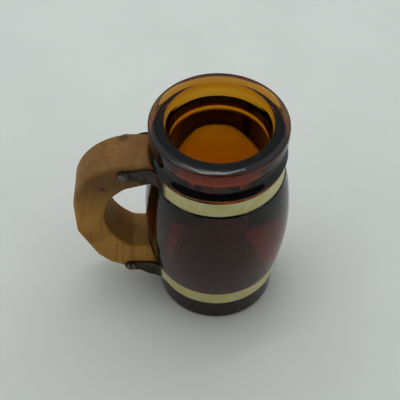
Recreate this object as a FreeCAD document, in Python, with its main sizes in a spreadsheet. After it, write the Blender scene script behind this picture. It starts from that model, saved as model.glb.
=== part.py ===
"""Small barrel mug of thick glass, with a whittled wooden handle nailed between the ends of two metal bands.

Frame: millimetres, +Z up, origin at the centre of the foot on the table, handle towards -X.
"""
import FreeCAD, Part
import math
import os

import Sketcher

# Driving dimensions, in millimetres. Radii are measured from the mug's own axis, heights from the table.
SIZES = {
    # glass
    "glass_height": 77.4,
    "rim_radius": 21.6,
    "lip_foot": 73.2,  # lower edge of the lip, which stands out over the neck
    "lip_round": 0.8,
    "mouth_radius": 16.75,
    "mouth_round": 0.3,
    "throat_height": 71.7,  # where the mouth's taper ends and the cup's straight wall begins
    "neck_radius": 19.8,
    "neck_top": 72.2,  # where the neck meets the lip's sloping underside
    "neck_height": 70.0,  # lower end of the neck's upright wall
    "neck_foot_radius": 20.3,
    "neck_foot": 67.8,
    "bead_arc": 4.0,
    "bead_radius": 21.6,
    "bead_face": 65.1,  # upper end of the bead's upright face
    "groove_upper": 20.5,
    "groove_lower": 19.9,
    "shoulder_radius": 21.3,
    "belly_radius": 23.7,
    "skirt_radius": 20.2,
    "foot_radius": 19.8,
    "foot_round": 0.8,
    "foot_inner": 14.0,
    "foot_hollow": 1.2,
    "floor_height": 10.0,
    "floor_radius": 15.4,
    "floor_round": 4.0,
    # bands
    "upper_band_height": 60.8,
    "lower_band_height": 12.8,
    "band_width": 6.5,
    "band_thick": 0.6,
    "bend_upper": 4.0,
    "bend_lower": 9.0,
    "taper_start": 22.6,
    "taper_end": 26.6,
    "tab_width": 4.3,
    "tab_reach": 31.3,
    "tab_rise_upper": 0.0,  # how far the tab's centre lies above the band's
    "tab_rise_lower": 1.1,
    # nails
    "nail_radius": 0.8,
    "nail_length": 6.2,
    "nail_point": 1.4,
    "head_radius": 1.8,
    "head_thick": 0.9,
    "head_edge": 0.35,
    # handle: corners of the outline, as reach from the mug's axis and height
    "handle_thick": 15.0,
    "handle_root": 18.5,
    "seat_gap": 0.15,
    "handle_reach": 46.5,
    "handle_top": 64.7,
    "crown_round": 20.5,
    "heel_height": 31.8,
    "facet_reach": 40.3,
    "facet_height": 18.6,
    "toe_reach": 36.6,
    "toe_height": 14.5,
    "sole_reach": 30.0,
    "sole_height": 11.8,
    "sole_root": 10.5,
    "gap_floor": 24.2,
    "gap_floor_reach": 28.0,
    "gap_round": 17.7,
    "gap_top_reach": 29.0,
    "gap_top": 53.7,
    "gap_top_root": 57.4,
    "corner_round": 3.0,
    "handle_edge": 1.7,
    "gap_edge": 0.8,
}


class Size:
    """A length with the expression that gives it from the sheet's cells."""

    def __init__(self, value, text):
        self.value = value
        self.text = text

    def _join(self, other, sign, value):
        return Size(value, f"({self.text} {sign} {other.text})")

    def __add__(self, other):
        return self._join(other, "+", self.value + other.value)

    def __sub__(self, other):
        return self._join(other, "-", self.value - other.value)

    def __mul__(self, other):
        return self._join(other, "*", self.value * other.value)

    def __truediv__(self, other):
        return self._join(other, "/", self.value / other.value)

    def __neg__(self):
        return Size(-self.value, f"(0 - {self.text})")

    def root(self):
        return Size(math.sqrt(self.value), f"sqrt({self.text})")


def size(name):
    """The sheet's cell of that name."""
    return Size(SIZES[name], f"Sizes.{name}")


ZERO = Size(0.0, "0")
TWO = Size(2.0, "2")
NEARLY = 1e-4  # how closely two places agree before they count as one, in millimetres
LEAST_CUT = 0.01  # the least volume that counts as material removed, in cubic millimetres

doc = FreeCAD.newDocument("barrel_mug")
sheet = doc.addObject("Spreadsheet::Sheet", "Sizes")
for row, (alias, number) in enumerate(SIZES.items(), start=1):
    sheet.set(f"A{row}", alias)
    sheet.set(f"B{row}", str(number))
    sheet.setAlias(f"B{row}", alias)
doc.recompute()


def new_body(label):
    body = doc.addObject("PartDesign::Body", label)
    body.Label = label
    return body


def new_sketch(body, name, role):
    """A sketch on the body's own origin plane of that role."""
    sketch = body.newObject("Sketcher::SketchObject", name)
    plane = next(f for f in body.Origin.OriginFeatures if f.Role == role)
    sketch.AttachmentSupport = [(plane, "")]
    sketch.MapMode = "FlatFace"
    return sketch


def bind(sketch, constraint, length):
    """Adds a constraint whose value comes from the sheet."""
    index = sketch.addConstraint(constraint)
    sketch.setExpression(f"Constraints[{index}]", length.text)


def arc_through(start, end, radius):
    """The short arc from start to end; a positive radius bows it to the right of the way there."""
    chord = end - start
    right = FreeCAD.Vector(chord.y, -chord.x, 0).normalize()
    half = chord.Length / 2
    bow = abs(radius) - math.sqrt(radius * radius - half * half)
    middle = (start + end) / 2 + right * math.copysign(bow, radius)
    return Part.Arc(start, middle, end)


def trace(sketch, corners):
    """A closed outline. Each corner is (x, y), or (x, y, radius, side) where an arc arrives at it."""
    points = [FreeCAD.Vector(c[0].value, c[1].value, 0) for c in corners]
    edges = []
    for place, corner in enumerate(corners):
        start, end = points[place - 1], points[place]
        if len(corner) == 2:
            edges.append(sketch.addGeometry(Part.LineSegment(start, end), False))
        else:
            edges.append(sketch.addGeometry(arc_through(start, end, corner[3] * corner[2].value), False))
    for place, corner in enumerate(corners):
        # the finished arc may run either way, so its ends are found by where they lie
        edge, after = edges[place], edges[(place + 1) % len(edges)]
        here = 1 if sketch.getPoint(edge, 1).distanceToPoint(points[place]) < NEARLY else 2
        there = 1 if sketch.getPoint(after, 1).distanceToPoint(points[place]) < NEARLY else 2
        sketch.addConstraint(Sketcher.Constraint("Coincident", edge, here, after, there))
        bind(sketch, Sketcher.Constraint("DistanceX", -1, 1, edge, here, corner[0].value), corner[0])
        bind(sketch, Sketcher.Constraint("DistanceY", -1, 1, edge, here, corner[1].value), corner[1])
        if len(corner) > 2:
            bind(sketch, Sketcher.Constraint("Radius", edge, corner[2].value), corner[2])


def feature(body, kind, name, sketch, **settings):
    """A PartDesign feature made from a sketch, set up and recomputed."""
    made = body.newObject(f"PartDesign::{kind}", name)
    made.Profile = sketch
    for key, value in settings.items():
        if isinstance(value, Size):
            made.setExpression(key, value.text)
        else:
            setattr(made, key, value)
    sketch.Visibility = False
    doc.recompute()
    return made


def turned(body, kind, name, sketch):
    """A solid, or a cut, turned about the body's own Z axis."""
    axis = next(f for f in body.Origin.OriginFeatures if f.Role == "Z_Axis")
    return feature(body, kind, name, sketch, ReferenceAxis=(axis, [""]))


def takes_away(body, make_cut):
    """Runs a step that must remove material, and stops if it removed none."""
    before = body.Shape.Volume
    make_cut()
    if not body.Shape.Volume < before - LEAST_CUT:
        raise RuntimeError(f"{body.Label}: a cut removed nothing")


def band_span(which):
    """The heights of a band's lower and upper edge."""
    middle = size(f"{which}_band_height")
    half = size("band_width") / TWO
    return middle - half, middle + half


def bow_radius(half_chord, rise):
    return (half_chord * half_chord + rise * rise) / (TWO * rise)


def belly_arc(lower, upper, shoulder, belly):
    """Radius of the arc that bulges from one shoulder, through the belly, to the other shoulder."""
    return bow_radius((upper - lower) / TWO, belly - shoulder)


def make_glass():
    body = new_body("glass_mug")
    lower_edge, lower_top = band_span("lower")
    upper_edge, upper_top = band_span("upper")
    shoulder, belly = size("shoulder_radius"), size("belly_radius")
    rim, lip, mouth = size("rim_radius"), size("lip_round"), size("mouth_radius")
    rim_top, inner_round = size("glass_height"), size("mouth_round")
    foot, foot_round = size("foot_radius"), size("foot_round")
    floor_top, floor_round = size("floor_height"), size("floor_round")
    bead = size("bead_radius")
    hollow_arc = bow_radius(size("foot_inner"), size("foot_hollow"))
    profile = new_sketch(body, "glass_profile", "XZ_Plane")
    trace(profile, [
        (ZERO, size("foot_hollow")),
        (size("foot_inner"), ZERO, hollow_arc, -1),
        (foot - foot_round, ZERO),
        (foot, foot_round, foot_round, 1),
        (size("skirt_radius"), lower_edge),
        (size("groove_lower"), lower_edge),
        (size("groove_lower"), lower_top),
        (shoulder, lower_top),
        (shoulder, upper_edge, belly_arc(lower_top, upper_edge, shoulder, belly), 1),
        (size("groove_upper"), upper_edge),
        (size("groove_upper"), upper_top),
        (bead, upper_top),
        (bead, size("bead_face")),
        (size("neck_foot_radius"), size("neck_foot"), size("bead_arc"), 1),
        (size("neck_radius"), size("neck_height")),
        (size("neck_radius"), size("neck_top")),
        (rim, size("lip_foot")),
        (rim, rim_top - lip),
        (rim - lip, rim_top, lip, 1),
        (mouth + inner_round, rim_top),
        (mouth, rim_top - inner_round, inner_round, 1),
        (size("floor_radius"), size("throat_height")),
        (size("floor_radius"), floor_top + floor_round),
        (size("floor_radius") - floor_round, floor_top, floor_round, -1),
        (ZERO, floor_top),
    ])
    turned(body, "Revolution", "glass_wall", profile)
    return body


def make_handle():
    body = new_body("wooden_handle")
    root, back, top = -size("handle_root"), -size("handle_reach"), size("handle_top")
    crown = size("crown_round")
    outline = new_sketch(body, "handle_outline", "XZ_Plane")
    trace(outline, [
        (root, top),
        (back + crown, top),
        (back, top - crown, crown, 1),
        (back, size("heel_height")),
        (-size("facet_reach"), size("facet_height")),
        (-size("toe_reach"), size("toe_height")),
        (-size("sole_reach"), size("sole_height")),
        (root, size("sole_root")),
        (root, size("gap_floor")),
        (-size("gap_floor_reach"), size("gap_floor")),
        (-size("gap_top_reach"), size("gap_top"), size("gap_round"), -1),
        (root, size("gap_top_root")),
    ])
    feature(body, "Pad", "handle_block", outline, Length=size("handle_thick"), Midplane=True)
    round_edges(body, "handle_corners", crosses_at_corner, size("corner_round"))
    round_edges(body, "handle_rounds", runs_outside, size("handle_edge"))
    round_edges(body, "gap_rounds", runs_round_gap, size("gap_edge"))
    takes_away(body, lambda: cut_seat(body))
    for which in ("upper", "lower"):
        for side in (1, -1):
            takes_away(body, lambda: drill_pilot(body, which, side))
    return body


def crosses_at_corner(box):
    """An edge across the handle's thickness where two stretches of the outline meet at an angle."""
    clear_of_root = box.XMax < -SIZES["belly_radius"]
    crown_end = SIZES["handle_top"] - SIZES["crown_round"]
    at_angle = box.ZMax < SIZES["gap_top"] + NEARLY and abs(box.ZMax - crown_end) > NEARLY
    return box.YLength > NEARLY and clear_of_root and at_angle


def on_flat_side(box):
    at_root = box.XLength < NEARLY and box.XMax > -SIZES["belly_radius"]
    return box.YLength < NEARLY and not at_root


def in_finger_gap(box):
    """Is the edge part of the finger gap's outline, clear of the handle's back?"""
    back_middle = -(SIZES["handle_reach"] + SIZES["toe_reach"]) / 2
    above_floor = box.ZMin > SIZES["gap_floor"] - NEARLY
    below_top = box.ZMax < SIZES["gap_top_root"] + NEARLY
    return box.XMin > back_middle and above_floor and below_top


def runs_outside(box):
    return on_flat_side(box) and not in_finger_gap(box)


def runs_round_gap(box):
    return on_flat_side(box) and in_finger_gap(box)


def cut_seat(body):
    """The ends of both legs are scribed to the glass: the grooves, the shoulders, the belly and the bead."""
    gap = size("seat_gap")
    _, lower_top = band_span("lower")
    upper_edge, upper_top = band_span("upper")
    shoulder, belly = size("shoulder_radius") + gap, size("belly_radius") + gap
    bead = size("bead_radius") + gap
    seat = new_sketch(body, "handle_seat", "XZ_Plane")
    trace(seat, [
        (ZERO, ZERO),
        (size("groove_lower") + gap, ZERO),
        (size("groove_lower") + gap, lower_top - gap),
        (shoulder, lower_top - gap),
        (shoulder, upper_edge + gap, belly_arc(lower_top - gap, upper_edge + gap, shoulder, belly), 1),
        (size("groove_upper") + gap, upper_edge + gap),
        (size("groove_upper") + gap, upper_top - gap),
        (bead, upper_top - gap),
        (bead, size("glass_height")),
        (ZERO, size("glass_height")),
    ])
    turned(body, "Groove", "handle_seat_cut", seat)


def round_edges(body, name, wanted, radius):
    """A fillet on every edge whose bounding box is wanted."""
    base = body.Tip
    edges = enumerate(base.Shape.Edges, start=1)
    chosen = [f"Edge{number}" for number, edge in edges if wanted(edge.BoundBox)]
    fillet = body.newObject("PartDesign::Fillet", name)
    fillet.Base = (base, chosen)
    fillet.setExpression("Radius", radius.text)
    doc.recompute()


def nail_reach():
    """How far from the mug's axis the nails stand: the centre of each tab's round end."""
    return size("tab_reach") - size("tab_width") / TWO


def nail_height(which):
    return size(f"{which}_band_height") + size(f"tab_rise_{which}")


def drill_pilot(body, which, side):
    """A blind hole for one nail's shank, from the handle's flat side."""
    hole = new_sketch(body, f"{which}_pilot_{'front' if side > 0 else 'back'}", "XZ_Plane")
    half = size("handle_thick") / TWO
    offset = half if side > 0 else -half
    hole.setExpression("AttachmentOffset.Base.z", offset.text)
    add_circle(hole, -nail_reach(), nail_height(which), size("nail_radius"))
    depth = size("nail_length") - size("band_thick")
    feature(body, "Pocket", f"{hole.Name}_hole", hole, Length=depth, Reversed=side < 0)


def add_circle(sketch, x, y, radius):
    middle = FreeCAD.Vector(x.value, y.value, 0)
    ring = sketch.addGeometry(Part.Circle(middle, FreeCAD.Vector(0, 0, 1), radius.value), False)
    bind(sketch, Sketcher.Constraint("DistanceX", -1, 1, ring, 3, x.value), x)
    bind(sketch, Sketcher.Constraint("DistanceY", -1, 1, ring, 3, y.value), y)
    bind(sketch, Sketcher.Constraint("Radius", ring, radius.value), radius)


def make_band(which):
    """A strip round the glass's groove; both ends bend outward, run along the handle and narrow to a tab."""
    body = new_body(f"{which}_band")
    groove, thick, bend = size(f"groove_{which}"), size("band_thick"), size(f"bend_{which}")
    half, reach = size("handle_thick") / TWO, size("tab_reach")
    bend_y = half + thick + bend
    to_bend = groove + thick + bend
    bend_x = (to_bend * to_bend - bend_y * bend_y).root()

    def leaves_ring(radius, side):
        """Where the ring of that radius passes into the bend."""
        return -(bend_x * radius / to_bend), sign(side, bend_y * radius / to_bend)

    plan = new_sketch(body, f"{which}_band_plan", "XY_Plane")
    outer = groove + thick
    trace(plan, [
        (-reach, -half),
        (-bend_x, -half),
        (*leaves_ring(groove, -1), bend + thick, -1),
        (groove, ZERO, groove, 1),
        (*leaves_ring(groove, 1), groove, 1),
        (-bend_x, half, bend + thick, -1),
        (-reach, half),
        (-reach, half + thick),
        (-bend_x, half + thick),
        (*leaves_ring(outer, 1), bend, 1),
        (outer, ZERO, outer, -1),
        (*leaves_ring(outer, -1), outer, -1),
        (-bend_x, -(half + thick), bend, 1),
        (-reach, -(half + thick)),
    ])
    feature(body, "Pad", f"{which}_band_strip", plan, Length=size("band_width"), Midplane=True)
    takes_away(body, lambda: narrow_tabs(body, which))
    takes_away(body, lambda: punch_tabs(body, which))
    body.setExpression("Placement.Base.z", size(f"{which}_band_height").text)
    return body


def sign(side, length):
    return length if side > 0 else -length


def narrow_tabs(body, which):
    """Cuts both ends of the strip to a tab with a round end."""
    waste = new_sketch(body, f"{which}_tab_shape", "XZ_Plane")
    tab, reach, edge = size("tab_width") / TWO, size("tab_reach"), size("band_width")
    rise = size(f"tab_rise_{which}")
    for side in (1, -1):
        tab_edge = rise + sign(side, tab)
        trace(waste, [
            (-size("taper_start"), sign(side, edge / TWO)),
            (-size("taper_end"), tab_edge),
            (-(reach - tab), tab_edge),
            (-reach, rise, tab, side),
            (-(reach + tab), rise),
            (-(reach + tab), sign(side, edge)),
            (-size("taper_start"), sign(side, edge)),
        ])
    feature(body, "Pocket", f"{which}_tab_cut", waste, Type="ThroughAll", Midplane=True)


def punch_tabs(body, which):
    """The nail holes through both tabs."""
    holes = new_sketch(body, f"{which}_tab_hole", "XZ_Plane")
    add_circle(holes, -nail_reach(), size(f"tab_rise_{which}"), size("nail_radius"))
    feature(body, "Pocket", f"{which}_tab_punch", holes, Type="ThroughAll", Midplane=True)


def make_nail(which, side):
    """A nail with a low domed head, its point towards the middle of the handle."""
    label = f"{which}_nail_{'front' if side > 0 else 'back'}"
    body = new_body(label)
    shank, head, edge = size("nail_radius"), size("head_radius"), size("head_edge")
    length = size("nail_length")
    profile = new_sketch(body, f"{label}_profile", "XZ_Plane")
    dome = bow_radius(head, size("head_thick") - edge)
    trace(profile, [
        (ZERO, -length),
        (shank, size("nail_point") - length),
        (shank, ZERO),
        (head, ZERO),
        (head, edge),
        (ZERO, size("head_thick"), dome, 1),
    ])
    turned(body, "Revolution", f"{label}_solid", profile)
    outward = FreeCAD.Vector(0, -side, 0)
    body.Placement = FreeCAD.Placement(FreeCAD.Vector(), FreeCAD.Rotation(FreeCAD.Vector(0, 0, 1), outward))
    off_side = size("handle_thick") / TWO + size("band_thick")
    body.setExpression("Placement.Base.x", (-nail_reach()).text)
    body.setExpression("Placement.Base.y", sign(-side, off_side).text)
    body.setExpression("Placement.Base.z", nail_height(which).text)
    return body


pieces = [make_glass(), make_handle()]
for which in ("upper", "lower"):
    pieces.append(make_band(which))
    for side in (1, -1):
        pieces.append(make_nail(which, side))
doc.recompute()

for item in doc.Objects:
    if {"Invalid", "Error"} & set(item.State):
        raise RuntimeError(f"{item.Label} failed: {item.State}")
os.makedirs("parts", exist_ok=True)
for piece in pieces:
    shape = piece.Shape
    if shape.isNull() or not shape.isValid() or len(shape.Solids) != 1:
        raise RuntimeError(f"{piece.Label} is not one valid solid")
    print(f"{piece.Label}: {shape.Volume / 1000:.2f} cm3")
    shape.exportStep(f"parts/{piece.Label}.step")
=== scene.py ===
import math

import bpy
from mathutils import Matrix, Vector, noise


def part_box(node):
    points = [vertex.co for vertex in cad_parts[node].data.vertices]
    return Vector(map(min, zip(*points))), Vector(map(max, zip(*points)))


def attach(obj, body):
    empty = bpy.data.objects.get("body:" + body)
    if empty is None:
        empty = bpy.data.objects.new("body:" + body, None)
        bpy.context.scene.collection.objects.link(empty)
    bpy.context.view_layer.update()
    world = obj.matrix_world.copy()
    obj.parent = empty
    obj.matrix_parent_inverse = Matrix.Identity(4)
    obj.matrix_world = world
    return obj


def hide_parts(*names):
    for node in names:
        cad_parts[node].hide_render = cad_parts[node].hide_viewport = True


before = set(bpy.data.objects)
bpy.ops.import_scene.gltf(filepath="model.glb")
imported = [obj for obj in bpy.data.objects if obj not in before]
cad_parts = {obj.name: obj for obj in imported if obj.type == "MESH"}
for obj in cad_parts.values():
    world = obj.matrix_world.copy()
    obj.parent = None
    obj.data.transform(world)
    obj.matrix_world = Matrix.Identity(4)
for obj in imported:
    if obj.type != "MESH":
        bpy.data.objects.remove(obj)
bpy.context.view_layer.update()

# Lengths below are in millimetres and are multiplied by MM where an object is made.
MM = 0.001
BODY = "root"
TINY = 1e-6
ARC_TURN = math.radians(9)  # the largest turn between two points of a rounded corner
STRAIGHT = math.radians(179)  # a corner that opens wider than this needs no rounding
UP = 2


# ---------------------------------------------------------------- small helpers

def linear(red, green, blue):
    """A colour of the 0 to 255 scale as the renderer's linear colour."""
    def channel(value):
        value = value / 255
        if value <= 0.04045:
            return value / 12.92
        return ((value + 0.055) / 1.055) ** 2.4
    return (channel(red), channel(green), channel(blue), 1.0)


def smooth(value, low, high):
    """0 below low, 1 above high and an even ramp with soft ends between."""
    share = min(1.0, max(0.0, (value - low) / (high - low)))
    return share * share * (3.0 - 2.0 * share)


def wave(point, length, seed=0.0):
    """Smooth seeded noise from -1 to 1 whose lumps are about one length across."""
    return noise.noise(Vector(point) / length + Vector((seed, 1.7 * seed, -seed)))


def span(node, axis):
    """A CAD node's lowest and highest place along one axis, in millimetres."""
    low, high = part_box(node)
    return round(low[axis] / MM, 3), round(high[axis] / MM, 3)


def rounded(corners):
    """Points along a bent line of (across, up, radius) corners, each corner rounded by its radius."""
    line = [Vector(corners[0][:2])]
    for before, corner, after in zip(corners, corners[1:], corners[2:]):
        here = Vector(corner[:2])
        radius = corner[2]
        back = (Vector(before[:2]) - here).normalized()
        ahead = (Vector(after[:2]) - here).normalized()
        opening = back.angle(ahead)
        if radius == 0 or opening > STRAIGHT:
            line.append(here)
            continue
        middle = here + (back + ahead).normalized() * radius / math.sin(opening / 2)
        start = here + back * radius / math.tan(opening / 2) - middle
        sweep = math.pi - opening
        side = 1 if start.x * ahead.y - start.y * ahead.x > 0 else -1
        steps = max(2, math.ceil(sweep / ARC_TURN))
        for step in range(steps + 1):
            angle = side * sweep * step / steps
            cos, sin = math.cos(angle), math.sin(angle)
            line.append(middle + Vector((start.x * cos - start.y * sin, start.x * sin + start.y * cos)))
    line.append(Vector(corners[-1][:2]))
    return line


def divided(line, spacing):
    """The same line with points added until none are further apart than the spacing."""
    points = [line[0]]
    for point in line[1:]:
        last = points[-1]
        runs = max(1, math.ceil((point - last).length / spacing))
        if (point - last).length > TINY:
            points += [last.lerp(point, run / runs) for run in range(1, runs + 1)]
    return points


def bow(first, top, last, steps):
    """Corners along the arc that passes through three (across, up) points, ends left out."""
    (ax, ay), (bx, by), (cx, cy) = first, top, last
    twice = 2 * (ax * (by - cy) + bx * (cy - ay) + cx * (ay - by))
    squares = [x * x + y * y for x, y in (first, top, last)]
    ox = (squares[0] * (by - cy) + squares[1] * (cy - ay) + squares[2] * (ay - by)) / twice
    oy = (squares[0] * (cx - bx) + squares[1] * (ax - cx) + squares[2] * (bx - ax)) / twice
    centre = Vector((ox, oy))
    radius = (Vector(first) - centre).length
    start = math.atan2(ay - oy, ax - ox)
    sweep = math.atan2(cy - oy, cx - ox) - start
    sweep = (sweep + math.pi) % (2 * math.pi) - math.pi
    angles = [start + sweep * step / steps for step in range(1, steps)]
    return [(ox + radius * math.cos(a), oy + radius * math.sin(a), 0) for a in angles]


def piece(name, points, faces, node, look):
    """A smooth-shaded mesh object that rides on the mug and replaces one CAD node."""
    mesh = bpy.data.meshes.new(name)
    mesh.from_pydata([tuple(point) for point in points], [], faces)
    mesh.validate()
    mesh.shade_smooth()
    mesh.materials.append(look)
    made = bpy.data.objects.new(name, mesh)
    bpy.context.scene.collection.objects.link(made)
    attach(made, BODY)
    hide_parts(node)
    return made


def turned(line, around):
    """Points and faces of a solid turned round the up axis from a line that starts and ends on it."""
    points = [Vector((0, 0, line[0].y))]
    for spot in line[1:-1]:
        for step in range(around):
            angle = 2 * math.pi * step / around
            points.append(Vector((spot.x * math.cos(angle), spot.x * math.sin(angle), spot.y)))
    points.append(Vector((0, 0, line[-1].y)))
    rings = len(line) - 2
    end = len(points) - 1
    faces = []
    for step in range(around):
        after = (step + 1) % around
        faces.append((0, 1 + after, 1 + step))
        for ring in range(rings - 1):
            low, high = 1 + ring * around, 1 + (ring + 1) * around
            faces.append((low + step, low + after, high + after, high + step))
        last = 1 + (rings - 1) * around
        faces.append((last + step, last + after, end))
    return points, faces


# ---------------------------------------------------------------- material helpers

def blank(name):
    """A new material with one Principled shader; its tree and that shader."""
    look = bpy.data.materials.new(name)
    look.use_nodes = True
    return look, look.node_tree, look.node_tree.nodes["Principled BSDF"]


def put(tree, kind, inputs=(), **settings):
    """A new node; its inputs are numbers, colours or other nodes' outputs."""
    made = tree.nodes.new(kind)
    for name, value in settings.items():
        setattr(made, name, value)
    for key, value in dict(inputs).items():
        if isinstance(value, bpy.types.NodeSocket):
            tree.links.new(value, made.inputs[key])
        else:
            made.inputs[key].default_value = value
    return made


def maths(tree, operation, first, second=0.0):
    """The result of one sum on numbers or outputs."""
    return put(tree, "ShaderNodeMath", {0: first, 1: second}, operation=operation).outputs[0]


def times(tree, first, second):
    return maths(tree, "MULTIPLY", first, second)


def mixed(tree, share, first, second):
    """The colour between first and second, by a share from 0 to 1."""
    inputs = {"Factor": share, 6: first, 7: second}
    return put(tree, "ShaderNodeMix", inputs, data_type="RGBA").outputs[2]


def ramp(tree, value, low, high):
    """0 where value is under low and 1 over high, with soft ends."""
    inputs = {"Value": value, "From Min": low, "From Max": high}
    return put(tree, "ShaderNodeMapRange", inputs, interpolation_type="SMOOTHSTEP").outputs[0]


def spread(tree, value, low, high):
    """A 0 to 1 value spread between low and high."""
    inputs = {"Value": value, "To Min": low, "To Max": high}
    return put(tree, "ShaderNodeMapRange", inputs).outputs[0]


def place(tree, stretch=(1, 1, 1), turn=(0, 0, 0)):
    """Object coordinates in millimetres, turned and stretched."""
    spot = put(tree, "ShaderNodeTexCoord").outputs["Object"]
    scale = [each / MM for each in stretch]
    inputs = {"Vector": spot, "Rotation": turn, "Scale": scale}
    return put(tree, "ShaderNodeMapping", inputs).outputs[0]


def speckle(tree, spot, size, detail=3.0, roughness=0.55, distortion=0.0):
    """Noise from 0 to 1 whose lumps are about size millimetres across."""
    inputs = {"Vector": spot, "Scale": 1 / size, "Detail": detail, "Roughness": roughness,
              "Distortion": distortion}
    return put(tree, "ShaderNodeTexNoise", inputs).outputs[0]


def relief(tree, height, depth):
    """A normal that shows height, a value from 0 to 1, as a surface depth millimetres deep."""
    inputs = {"Height": height, "Distance": depth * MM, "Strength": 1.0}
    return put(tree, "ShaderNodeBump", inputs).outputs[0]


def mark(tree, centre, reach, edge):
    """1 within reach of a point, 0 outside it, with a soft edge; all in millimetres."""
    offset = put(tree, "ShaderNodeVectorMath", {0: place(tree), 1: centre}, operation="DISTANCE")
    return ramp(tree, offset.outputs["Value"], reach + edge, reach - edge)


# ---------------------------------------------------------------- amber glass

AROUND_GLASS = 864
GLASS_SPACING = 0.7
BUMPS = 144  # small bumps in the lip's outer edge, all the way round
BUMP_DEPTH = 0.05
BUMP_HEIGHTS = (75.9, 76.7)  # the bumps fade in between these heights and these radii
BUMP_RADII = (19.2, 20.4)
CUP_RADIUS = 18.5  # every point nearer the axis than this, and above the floor, is inside the cup
CUP_HEIGHTS = (8, 12)
FOOT_HEIGHTS = (0.5, 3.0)  # the foot itself stays flat
LOWER_EDGE, BELLY_FOOT = span("lower_band", UP)
BELLY_TOP, UPPER_EDGE = span("upper_band", UP)
RIM_TOP = span("glass_mug", UP)[1]
UPPER_GROOVE = 20.45
LOWER_GROOVE = 19.85


def glass_outline():
    """The mug's half section in millimetres, (across, up), from the hollow foot round to the cup's floor."""
    hollow = [(0, 1.2, 0)] + bow((0, 1.2), (7.5, 0.86), (14.0, 0), 10)
    foot = [(14.0, 0, 0.4), (19.0, 0, 0), (19.8, 0.8, 0.7)]
    lower_groove = [(20.2, LOWER_EDGE, 0.25), (LOWER_GROOVE, LOWER_EDGE, 0.1), (LOWER_GROOVE, BELLY_FOOT, 0.15)]
    belly = [(21.3, BELLY_FOOT, 0.35)]
    belly += bow((21.3, BELLY_FOOT), (23.7, 36.8), (21.3, BELLY_TOP), 40)
    belly += [(21.3, BELLY_TOP, 0.8)]
    upper_groove = [(UPPER_GROOVE, BELLY_TOP, 0.12), (UPPER_GROOVE, UPPER_EDGE, 0.12)]
    neck = [(21.6, UPPER_EDGE, 0.45), (21.6, 65.48, 0.9), (20.3, 67.8, 0.8), (19.8, 70.0, 0.8), (19.8, 72.2, 0.35)]
    lip = [(21.6, 73.2, 0.4), (21.6, RIM_TOP - 0.45, 0.7)]
    rim = [(19.95, RIM_TOP, 2.0), (18.4, RIM_TOP, 2.0), (16.75, RIM_TOP - 0.05, 0.25)]
    cup = [(15.45, 71.66, 4.4), (15.4, 10.0, 4.0), (0, 10.0, 0)]
    return rounded(hollow + foot + lower_groove + belly + upper_groove + neck + lip + rim + cup)


def glass_wobble(point):
    """Moves a point of the glass as pressing in a mould leaves it: slow waves, most inside the cup."""
    across = math.hypot(point.x, point.y)
    if across < TINY:
        return point
    inside = smooth(CUP_RADIUS - across, 0, 1) * smooth(point.z, *CUP_HEIGHTS)
    reach = (0.03 + 0.09 * inside) * wave(point, 11.0, 3.1)
    reach += 0.02 * inside * wave(point, 4.0, 5.3)
    reach *= smooth(point.z, *FOOT_HEIGHTS)
    outward = Vector((point.x, point.y, 0)) / across
    return point + outward * reach + lip_bump(point, across, outward)


def lip_bump(point, across, outward):
    """How far the row of small bumps in the lip's outer edge moves a point."""
    lip = smooth(point.z, *BUMP_HEIGHTS) * smooth(across, *BUMP_RADII)
    uneven = 0.7 + 0.6 * wave(point, 2.6, 6.2)
    bump = abs(math.sin(BUMPS / 2 * math.atan2(point.y, point.x)))
    return (outward + Vector((0, 0, 1))) * (BUMP_DEPTH * lip * uneven * (bump - 1.0))


def glass_look():
    """Amber bottle glass: clear surface, colour from the glass's depth, faint handling marks."""
    look, tree, shader = blank("amber_glass")
    shader.inputs["Base Color"].default_value = (1, 1, 1, 1)
    shader.inputs["Transmission Weight"].default_value = 1.0
    shader.inputs["IOR"].default_value = 1.51
    smears = speckle(tree, place(tree, stretch=(1, 1, 0.6)), 9.0, detail=5.0)
    tree.links.new(spread(tree, ramp(tree, smears, 0.45, 0.75), 0.0, 0.03), shader.inputs["Roughness"])
    depth = put(tree, "ShaderNodeVolumeAbsorption", {"Color": (0.872, 0.691, 0.0, 1), "Density": 760.0})
    tree.links.new(depth.outputs[0], tree.nodes["Material Output"].inputs["Volume"])
    return look


def make_glass():
    points, faces = turned(divided(glass_outline(), GLASS_SPACING), AROUND_GLASS)
    points = [glass_wobble(point) * MM for point in points]
    piece("mug_glass", points, faces, "glass_mug", glass_look())


# ---------------------------------------------------------------- hoops

HOOP_THICK = 0.6
HOOP_HALF = 3.25
TAB_HALF = 2.15
TAB_MIDDLE = -29.15
TAPER_START = -22.6
TAPER_END = -26.6
STRAP_OUT = 8.1
HOOP_STEP = 0.5
HOOP_EDGE = 0.14
HOOP_ROWS = 12  # rows of faces across the strip's outer face
LEAST_HALF = 0.12  # half of the strip's height at the very tip of a tab
RING_SLACK = 0.3
LIFT_STARTS = (-22, -19)  # the strip is dented only on the ring side of these places along X


def hoop_path(ring, bend):
    """Half of a hoop's outer line seen from above, from the tab's tip round to the side away from it."""
    across = STRAP_OUT + bend
    along = -math.sqrt((ring + bend) ** 2 - across ** 2)
    tip = TAB_MIDDLE - TAB_HALF
    line = [Vector((tip, -STRAP_OUT)), Vector((along, -STRAP_OUT))]
    centre = Vector((along, -across))
    meets = math.atan2(-centre.y, -centre.x)
    steps = math.ceil(bend * (math.pi / 2 - meets) / HOOP_STEP) + 4
    for step in range(1, steps + 1):
        angle = math.pi / 2 + (meets - math.pi / 2) * step / steps
        line.append(centre + Vector((math.cos(angle), math.sin(angle))) * bend)
    start = math.atan2(centre.y, centre.x)
    steps = math.ceil(-start * ring / HOOP_STEP)
    for step in range(1, steps + 1):
        angle = start * (1 - step / steps)
        line.append(Vector((math.cos(angle), math.sin(angle))) * ring)
    return divided(line, HOOP_STEP)


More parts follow.
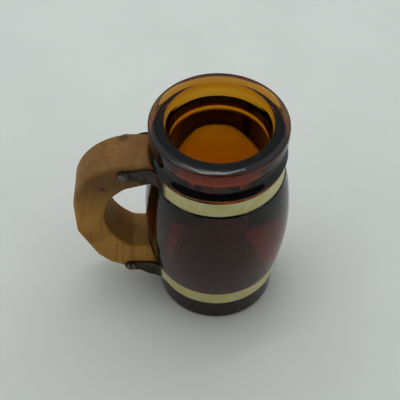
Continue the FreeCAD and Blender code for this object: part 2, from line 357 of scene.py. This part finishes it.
def hoop_half_width(x, ring_side):
    """Half of the strip's height where the strap has reached x: full, tapered, then the tab's round end."""
    if ring_side or x > TAPER_START:
        return HOOP_HALF
    if x < TAB_MIDDLE:
        return math.sqrt(max(0.0, TAB_HALF ** 2 - (x - TAB_MIDDLE) ** 2))
    return TAB_HALF + (HOOP_HALF - TAB_HALF) * smooth(x, TAPER_END, TAPER_START)


def hoop_section(half):
    """The strip's section as (up, outward) points, edges rounded, outer face first."""
    edge = min(HOOP_EDGE, half * 0.5)
    outer = [(-half + edge + (2 * half - 2 * edge) * step / HOOP_ROWS, 0.0) for step in range(HOOP_ROWS + 1)]
    upper = [(half - edge + edge * math.sin(a), -edge + edge * math.cos(a)) for a in (0.6, 1.2)]
    inner = [(-up, -HOOP_THICK - out) for up, out in outer + upper]
    return outer + upper + inner


def dented(spot, outward, up, out, height, seed):
    """A point of the strip at (up, out) from the path's spot, moved as handling and hammering leave it."""
    flat = spot + outward * out
    bump = 0.06 * wave((flat.x, flat.y, up), 7.0, seed)
    edge = 0.07 * wave((flat.x, flat.y, 0), 4.0, seed + up)
    lift = max(0.0, bump) * smooth(spot.x, *LIFT_STARTS)
    moved = flat + outward * lift
    return Vector((moved.x, moved.y, height + up * (1 + edge / HOOP_HALF)))


def hoop_points(path, ring, middle, rise, seed):
    """The strip's points, and where each lies along it, across it and on its outer face."""
    points = []
    marks = {"along": [], "across": [], "outside": []}
    length = 0.0
    total = sum((b - a).length for a, b in zip(path, path[1:]))
    for at, spot in enumerate(path):
        before, after = path[max(at - 1, 0)], path[min(at + 1, len(path) - 1)]
        run = (after - before).normalized()
        outward = Vector((run.y, -run.x))
        length += (spot - before).length
        height = middle + rise * smooth(-spot.x, -TAPER_START, -TAPER_END)
        on_ring = spot.length < ring + RING_SLACK and spot.x > -ring
        half = max(LEAST_HALF, hoop_half_width(spot.x, on_ring))
        for up, out in hoop_section(half):
            points.append(dented(spot, outward, up, out, height, seed) * MM)
            marks["along"].append(length - total / 2)
            marks["across"].append(up)
            marks["outside"].append(1.0 if out > -0.05 else 0.0)
    return points, marks


def tube_faces(rows, loop):
    """Faces of a closed strip of points laid down in rows of loop points each."""
    faces = []
    for at in range(rows - 1):
        for step in range(loop):
            after = (step + 1) % loop
            here, there = at * loop, (at + 1) * loop
            faces.append((here + step, there + step, there + after, here + after))
    faces.append(tuple(range(loop)))
    faces.append(tuple(rows * loop - 1 - step for step in range(loop)))
    return faces


def make_hoop(name, node, bend, rise, seed, look):
    """A metal strip bent round the mug, its two ends lying on the handle's sides."""
    ring = span(node, 0)[1]
    middle = round(span(node, UP)[0] + HOOP_HALF, 3)
    half = hoop_path(ring, bend)
    path = half + [Vector((spot.x, -spot.y)) for spot in reversed(half[:-1])]
    points, marks = hoop_points(path, ring, middle, rise, seed)
    faces = tube_faces(len(path), len(points) // len(path))
    made = piece(name, points, faces, node, look)
    for title, values in marks.items():
        made.data.attributes.new(title, "FLOAT", "POINT").data.foreach_set("value", values)


def attribute(tree, name):
    return put(tree, "ShaderNodeAttribute", attribute_name=name).outputs["Fac"]


def lacquer_left(tree, spot, fine, along, outside, half_painted, ragged):
    """1 where lacquer is left on the ring's outer face, 0 past its ragged edges and ends and in its chips."""
    across = attribute(tree, "across")
    tatter = times(tree, maths(tree, "SUBTRACT", fine, 0.5), ragged)
    lower_line = maths(tree, "ADD", maths(tree, "ADD", across, HOOP_HALF), tatter)
    upper_line = maths(tree, "ADD", maths(tree, "SUBTRACT", HOOP_HALF, across), times(tree, tatter, 0.4))
    below = ramp(tree, lower_line, 0.16, 0.26)
    above = ramp(tree, upper_line, 0.30, 0.46)
    reach = maths(tree, "ADD", along, times(tree, tatter, 3.0))
    blend = 0.2 + 1.2 * ragged
    ends = ramp(tree, reach, half_painted + blend, half_painted - blend)
    chips = ramp(tree, speckle(tree, spot, 1.6, detail=5.0, roughness=0.7), 0.70, 0.73)
    kept = maths(tree, "SUBTRACT", 1.0, chips)
    paint = times(tree, times(tree, below, above), times(tree, ends, kept))
    return times(tree, paint, ramp(tree, outside, 0.5, 0.9))


def hoop_colour(tree, paint, fine, broad, along, outside, half_painted):
    """Pale gold lacquer over brownish steel, whose edges are darker past the lacquer's ends."""
    gold = mixed(tree, ramp(tree, broad, 0.3, 0.7), linear(205, 198, 134), linear(215, 208, 160))
    gold = mixed(tree, ramp(tree, fine, 0.55, 0.75), gold, linear(176, 166, 110))
    steel = mixed(tree, ramp(tree, broad, 0.35, 0.65), linear(74, 64, 58), linear(92, 84, 80))
    steel = mixed(tree, ramp(tree, fine, 0.5, 0.7), steel, linear(58, 44, 34))
    near_ring = ramp(tree, along, half_painted + 1.0, half_painted - 2.0)
    edges = mixed(tree, near_ring, linear(40, 32, 28), linear(86, 76, 46))
    steel = mixed(tree, ramp(tree, outside, 0.9, 0.5), steel, edges)
    return mixed(tree, paint, steel, gold)


def hoop_look(name, half_painted, ragged, seed):
    """Dark bare steel whose ring is lacquered pale gold up to a ragged line near each edge."""
    look, tree, shader = blank(name)
    moved = put(tree, "ShaderNodeVectorMath", {0: place(tree), 1: (seed, seed, seed)}, operation="ADD")
    spot = moved.outputs[0]
    fine = speckle(tree, spot, 0.9, detail=4.0, roughness=0.65)
    broad = speckle(tree, spot, 6.0)
    along = maths(tree, "ABSOLUTE", attribute(tree, "along"))
    outside = attribute(tree, "outside")
    paint = lacquer_left(tree, spot, fine, along, outside, half_painted, ragged)
    colour = hoop_colour(tree, paint, fine, broad, along, outside, half_painted)
    tree.links.new(colour, shader.inputs["Base Color"])
    tree.links.new(spread(tree, paint, 0.85, 0.2), shader.inputs["Metallic"])
    rough = maths(tree, "ADD", spread(tree, paint, 0.42, 0.38), times(tree, fine, 0.16))
    tree.links.new(rough, shader.inputs["Roughness"])
    height = maths(tree, "ADD", times(tree, paint, 0.8), times(tree, fine, 0.35))
    tree.links.new(relief(tree, height, 0.05), shader.inputs["Normal"])
    return look


# ---------------------------------------------------------------- nails

def nail_look():
    """Dull steel with brown rust in its hollows."""
    look, tree, shader = blank("nail_steel")
    rust = ramp(tree, speckle(tree, place(tree), 0.8, detail=4.0), 0.45, 0.62)
    base = mixed(tree, rust, linear(128, 120, 114), linear(66, 46, 34))
    tree.links.new(base, shader.inputs["Base Color"])
    tree.links.new(spread(tree, rust, 0.95, 0.55), shader.inputs["Metallic"])
    tree.links.new(spread(tree, rust, 0.24, 0.5), shader.inputs["Roughness"])
    tree.links.new(relief(tree, speckle(tree, place(tree), 0.5), 0.06), shader.inputs["Normal"])
    return look


NAIL_SPACING = 0.25
AROUND_NAIL = 40
SHANK_RADIUS = 0.8
POINT_LENGTH = 1.4
HEAD_THICK = 0.9


def nail_outline(radius, length):
    """A nail's half section, (across, along), from its point to the middle of its domed head."""
    shank = [(0, 0, 0), (0.12, 0.1, 0), (SHANK_RADIUS, POINT_LENGTH, 0.2), (SHANK_RADIUS, length - HEAD_THICK, 0)]
    head = [(radius - 0.1, length - HEAD_THICK, 0.05), (radius, length - 0.6, 0.12)]
    dome = bow((radius, length - 0.55), (radius * 0.72, length - 0.2), (0, length), 9)
    return rounded(shank + head + dome + [(0, length, 0)])


def make_nail(node, seed, look):
    """A round-headed nail driven into the handle's side through a tab."""
    low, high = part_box(node)
    centre = (low + high) / 2 / MM
    radius = (high.x - low.x) / 2 / MM
    side = -1 if centre.y < 0 else 1
    tip, crown = (high.y, low.y) if side < 0 else (low.y, high.y)
    tip, crown = tip / MM, crown / MM
    length = abs(crown - tip)
    points, faces = turned(divided(nail_outline(radius, length), NAIL_SPACING), AROUND_NAIL)
    placed = []
    for point in points:
        dent = 0.07 * wave(point, 1.1, seed) * smooth(point.z, length - 0.8, length - 0.4)
        x, y = (point.x, point.y) if side > 0 else (point.x, -point.y)
        placed.append(Vector((centre.x + x, tip + side * (point.z + min(dent, 0.0)), centre.z + y)) * MM)
    faces = [tuple(reversed(face)) for face in faces]
    piece(node.replace("nail", "pin"), placed, faces, node, look)


# ---------------------------------------------------------------- wooden handle

HANDLE_VOXEL = 0.35
SCRIBED = (23.0, 27.0)  # nearer the glass than this, the handle keeps its fitted shape
TAB_SEAT = -32.5  # the flat sides are cut less where the hoops' tabs lie, on the glass's side of this place
KNOT = (-36.3, -7.5, 53.9)
SMUDGE = (-30.0, 5.4, 64.6)


def whittled(point, normal):
    """Moves a point of the handle inward as knife cuts and hands leave it; ends against the glass stay put."""
    away = smooth(-point.x, *SCRIBED)
    cuts = 0.5 + 0.5 * wave(point, 9.0, 2.2)
    small = 0.5 + 0.5 * wave(point, 3.2, 7.4)
    depth = (0.22 * cuts + 0.07 * small) * away
    flat = abs(normal.y) > 0.8 and point.x > TAB_SEAT
    return point - normal * (depth * (0.25 if flat else 1.0))


def make_handle(look):
    """The CAD handle's shape, remeshed evenly and whittled."""
    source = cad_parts["wooden_handle"]
    made = bpy.data.objects.new("mug_handle", source.data.copy())
    bpy.context.scene.collection.objects.link(made)
    made.data.materials.clear()
    made.data.materials.append(look)
    even = made.modifiers.new("even", "REMESH")
    even.mode = "VOXEL"
    even.voxel_size = HANDLE_VOXEL * MM
    soft = made.modifiers.new("soft", "CORRECTIVE_SMOOTH")
    soft.factor = 0.5
    soft.iterations = 3
    soft.use_only_smooth = True
    result = bpy.data.meshes.new_from_object(made.evaluated_get(bpy.context.evaluated_depsgraph_get()))
    made.modifiers.clear()
    made.data = result
    moved = [whittled(vertex.co / MM, vertex.normal) * MM for vertex in result.vertices]
    for vertex, spot in zip(result.vertices, moved):
        vertex.co = spot
    result.update()
    result.shade_smooth()
    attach(made, BODY)
    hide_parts("wooden_handle")


GRAIN_LEAN = (0, math.radians(6), 0)


def wood_ground(tree):
    """Bands of brown with painted light low on the open sides and back, partly the wood's own lighter tone, and
    painted shade left in the finger gap.
    """
    bands_spot = place(tree, stretch=(1, 0.5, 0.12), turn=GRAIN_LEAN)
    bands = speckle(tree, bands_spot, 5.5, detail=2.0, distortion=0.8)
    base = mixed(tree, ramp(tree, bands, 0.3, 0.7), linear(122, 88, 42), linear(134, 102, 54))
    along, thick, up = put(tree, "ShaderNodeSeparateXYZ", {0: place(tree)}).outputs
    flat_side = ramp(tree, maths(tree, "ABSOLUTE", thick), 6.4, 7.2)
    back = ramp(tree, along, -38.0, -41.0)
    open_side = spread(tree, maths(tree, "MAXIMUM", flat_side, back), 0.35, 1.0)
    # painted light: lightest low down on the flat sides and back; the finger gap gets less of it and stays darker
    # as painted shade
    painted_light = times(tree, ramp(tree, up, 58.0, 38.0), open_side)
    return mixed(tree, times(tree, painted_light, 0.92), base, linear(196, 146, 64))


def wood_figure(tree, base, grain, pores):
    """Adds grain, reddish patches and pores."""
    patches = speckle(tree, place(tree), 9.0)
    base = mixed(tree, times(tree, ramp(tree, grain, 0.45, 0.7), 0.4), base, linear(108, 72, 32))
    base = mixed(tree, times(tree, ramp(tree, patches, 0.5, 0.75), 0.4), base, linear(134, 86, 34))
    return mixed(tree, times(tree, ramp(tree, pores, 0.58, 0.68), 0.22), base, linear(74, 50, 26))


def wood_marks(tree, base):
    """Adds a small knot with its halo, and a dirty smudge."""
    halo = times(tree, mark(tree, KNOT, 1.6, 1.2), 0.5)
    dirt = times(tree, mark(tree, SMUDGE, 1.5, 1.3), 0.8)
    base = mixed(tree, halo, base, linear(104, 60, 22))
    base = mixed(tree, mark(tree, KNOT, 0.55, 0.45), base, linear(62, 32, 12))
    return mixed(tree, dirt, base, linear(58, 44, 34))


def wood_look():
    """Light brown carved wood: long grain up the handle, pores, a knot and a smudge.

    Part of the lighter and darker painting is the photograph's light and not the wood's own colour.
    """
    look, tree, shader = blank("handle_wood")
    grain_spot = place(tree, stretch=(1, 0.9, 0.09), turn=GRAIN_LEAN)
    grain = speckle(tree, grain_spot, 1.3, detail=5.0, roughness=0.6, distortion=0.6)
    pores = speckle(tree, place(tree, stretch=(1, 1, 0.12)), 0.35, detail=2.0)
    colour = wood_marks(tree, wood_figure(tree, wood_ground(tree), grain, pores))
    tree.links.new(colour, shader.inputs["Base Color"])
    tree.links.new(spread(tree, grain, 0.48, 0.66), shader.inputs["Roughness"])
    shader.inputs["Specular IOR Level"].default_value = 0.35
    height = maths(tree, "SUBTRACT", times(tree, grain, -0.5), times(tree, pores, 0.5))
    tree.links.new(relief(tree, height, 0.14), shader.inputs["Normal"])
    return look


# ---------------------------------------------------------------- stage, light and camera

FOOT_GAP = 0.04
FLOOR_HALF = 6000.0
FLOOR_STEPS = 24
TABLE_PAINTED_SHADOW = (-15.0, -65.0, 0.0)  # a painted shadow of the mug darkens the table round this place
CARD_AIM = (0.0, 0.0, 50.0)
LAMP_AT = (-80.0, 150.0, 1150.0)
LAMP_AIM = (0.0, 0.0, 30.0)
LAMP_SIZE = (500.0, 50.0)
LAMP_WATTS = 1.5
ROOM_COLOUR = (0.965, 0.98, 0.98, 1)
ROOM_DARK = 0.10  # the room's brightness near the horizon
ROOM_RISE = 1.05  # how much brighter it is overhead
ROOM_HEIGHTS = (0.13, 0.50)  # where the rise starts and ends, as the upward part of the direction
DISPLAY_GAMMA = 0.85
CAMERA_AT = (-5.65, -208.36, 294.64)
CAMERA_TILT = math.radians(39.3)
CAMERA_ROLL = math.radians(0.33)
CAMERA_LENS = 90.0
CAMERA_SENSOR = 36.0
CAMERA_NEAREST = 10.0


def table_look():
    look, tree, shader = blank("pale_table")
    cloud = speckle(tree, place(tree), 40.0)
    pale = mixed(tree, cloud, linear(206, 210, 207), linear(214, 218, 215))
    # painted shadow: the table colour is darker in front of the mug, where its shadow falls
    painted_shadow = times(tree, mark(tree, TABLE_PAINTED_SHADOW, 60.0, 55.0), 0.4)
    tree.links.new(mixed(tree, painted_shadow, pale, linear(192, 195, 191)), shader.inputs["Base Color"])
    shader.inputs["Roughness"].default_value = 0.6
    shader.inputs["Specular IOR Level"].default_value = 0.2
    return look


def put_on_stage(name, points, faces, look):
    """A mesh that belongs to the scene's surroundings and not to the part."""
    mesh = bpy.data.meshes.new(name)
    mesh.from_pydata(points, [], faces)
    mesh.materials.append(look)
    made = bpy.data.objects.new(name, mesh)
    bpy.context.scene.collection.objects.link(made)
    return made


def make_floor():
    """A wide pale matt table top at the mug's foot."""
    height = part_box("glass_mug")[0].z - FOOT_GAP * MM
    half = FLOOR_HALF * MM
    places = [half * (2 * step / FLOOR_STEPS - 1) for step in range(FLOOR_STEPS + 1)]
    points = [(x, y, height) for y in places for x in places]
    faces = []
    for row in range(FLOOR_STEPS):
        for column in range(FLOOR_STEPS):
            corner = row * (FLOOR_STEPS + 1) + column
            faces.append((corner, corner + 1, corner + FLOOR_STEPS + 2, corner + FLOOR_STEPS + 1))
    put_on_stage("floor", points, faces, table_look())


def felt_look(name, shade):
    look, tree, shader = blank(name)
    darker = tuple(0.9 * part for part in shade[:3]) + (1.0,)
    fuzz = speckle(tree, place(tree), 3.0)
    tree.links.new(mixed(tree, fuzz, darker, shade), shader.inputs["Base Color"])
    shader.inputs["Roughness"].default_value = 0.9
    return look


def make_card(name, centre, half_wide, half_high, shade):
    """A matt card beside the camera's view, which the glass mirrors in place of the bright room."""
    centre = Vector(centre) * MM
    ahead = (Vector(CARD_AIM) * MM - centre).normalized()
    across = Vector((half_wide * MM, 0.0, 0.0))
    up = across.normalized().cross(ahead) * (half_high * MM)
    corners = [centre - across - up, centre + across - up, centre + across + up, centre - across + up]
    card = put_on_stage(name, corners, [(0, 1, 2, 3)], felt_look(name + "_felt", shade))
    card.visible_camera = False


def make_lamp():
    """A long soft lamp overhead."""
    light = bpy.data.lights.new("strip_lamp", "AREA")
    light.shape = "RECTANGLE"
    light.size, light.size_y = (length * MM for length in LAMP_SIZE)
    light.energy = LAMP_WATTS
    made = bpy.data.objects.new("strip_lamp", light)
    made.location = Vector(LAMP_AT) * MM
    made.rotation_euler = (Vector(LAMP_AIM) - Vector(LAMP_AT)).to_track_quat("-Z", "Y").to_euler()
    bpy.context.scene.collection.objects.link(made)


def make_room():
    """An even soft light from overhead that fades towards the horizon."""
    world = bpy.data.worlds.new("room")
    bpy.context.scene.world = world
    world.use_nodes = True
    tree = world.node_tree
    sky = tree.nodes["Background"]
    direction = put(tree, "ShaderNodeTexCoord").outputs["Generated"]
    height = put(tree, "ShaderNodeSeparateXYZ", {0: direction}).outputs[UP]
    rise = times(tree, ramp(tree, height, *ROOM_HEIGHTS), ROOM_RISE)
    sky.inputs["Color"].default_value = ROOM_COLOUR
    tree.links.new(maths(tree, "ADD", ROOM_DARK, rise), sky.inputs["Strength"])
    bpy.context.scene.view_settings.view_transform = "Standard"
    bpy.context.scene.view_settings.gamma = DISPLAY_GAMMA


def make_camera():
    """A camera in front of the mug and above it, looking steeply down."""
    camera = bpy.data.cameras.new("camera")
    camera.sensor_width = CAMERA_SENSOR
    camera.lens = CAMERA_LENS
    camera.clip_start = CAMERA_NEAREST * MM
    made = bpy.data.objects.new("camera", camera)
    tilt = Matrix.Rotation(CAMERA_TILT, 4, "X")
    roll = Matrix.Rotation(CAMERA_ROLL, 4, "Z")
    made.matrix_world = Matrix.Translation(Vector(CAMERA_AT) * MM) @ tilt @ roll
    bpy.context.scene.collection.objects.link(made)
    bpy.context.scene.camera = made


make_camera()
make_floor()
make_room()
make_lamp()
make_card("near_card", (0.0, -850.0, 680.0), 620.0, 600.0, linear(100, 100, 104))
make_card("far_card", (20.0, 750.0, 870.0), 280.0, 130.0, linear(236, 238, 244))
make_glass()
make_handle(wood_look())
make_hoop("upper_hoop", "upper_band", 4.0, 0.0, 1.3, hoop_look("upper_hoop_metal", 52.0, 0.9, 3.0))
make_hoop("lower_hoop", "lower_band", 9.0, 1.1, 4.6, hoop_look("lower_hoop_metal", 54.5, 0.3, 8.0))
steel = nail_look()
for seed, nail in enumerate(("upper_nail_front", "upper_nail_back", "lower_nail_front", "lower_nail_back")):
    make_nail(nail, 2.3 * seed, steel)

bpy.context.view_layer.update()
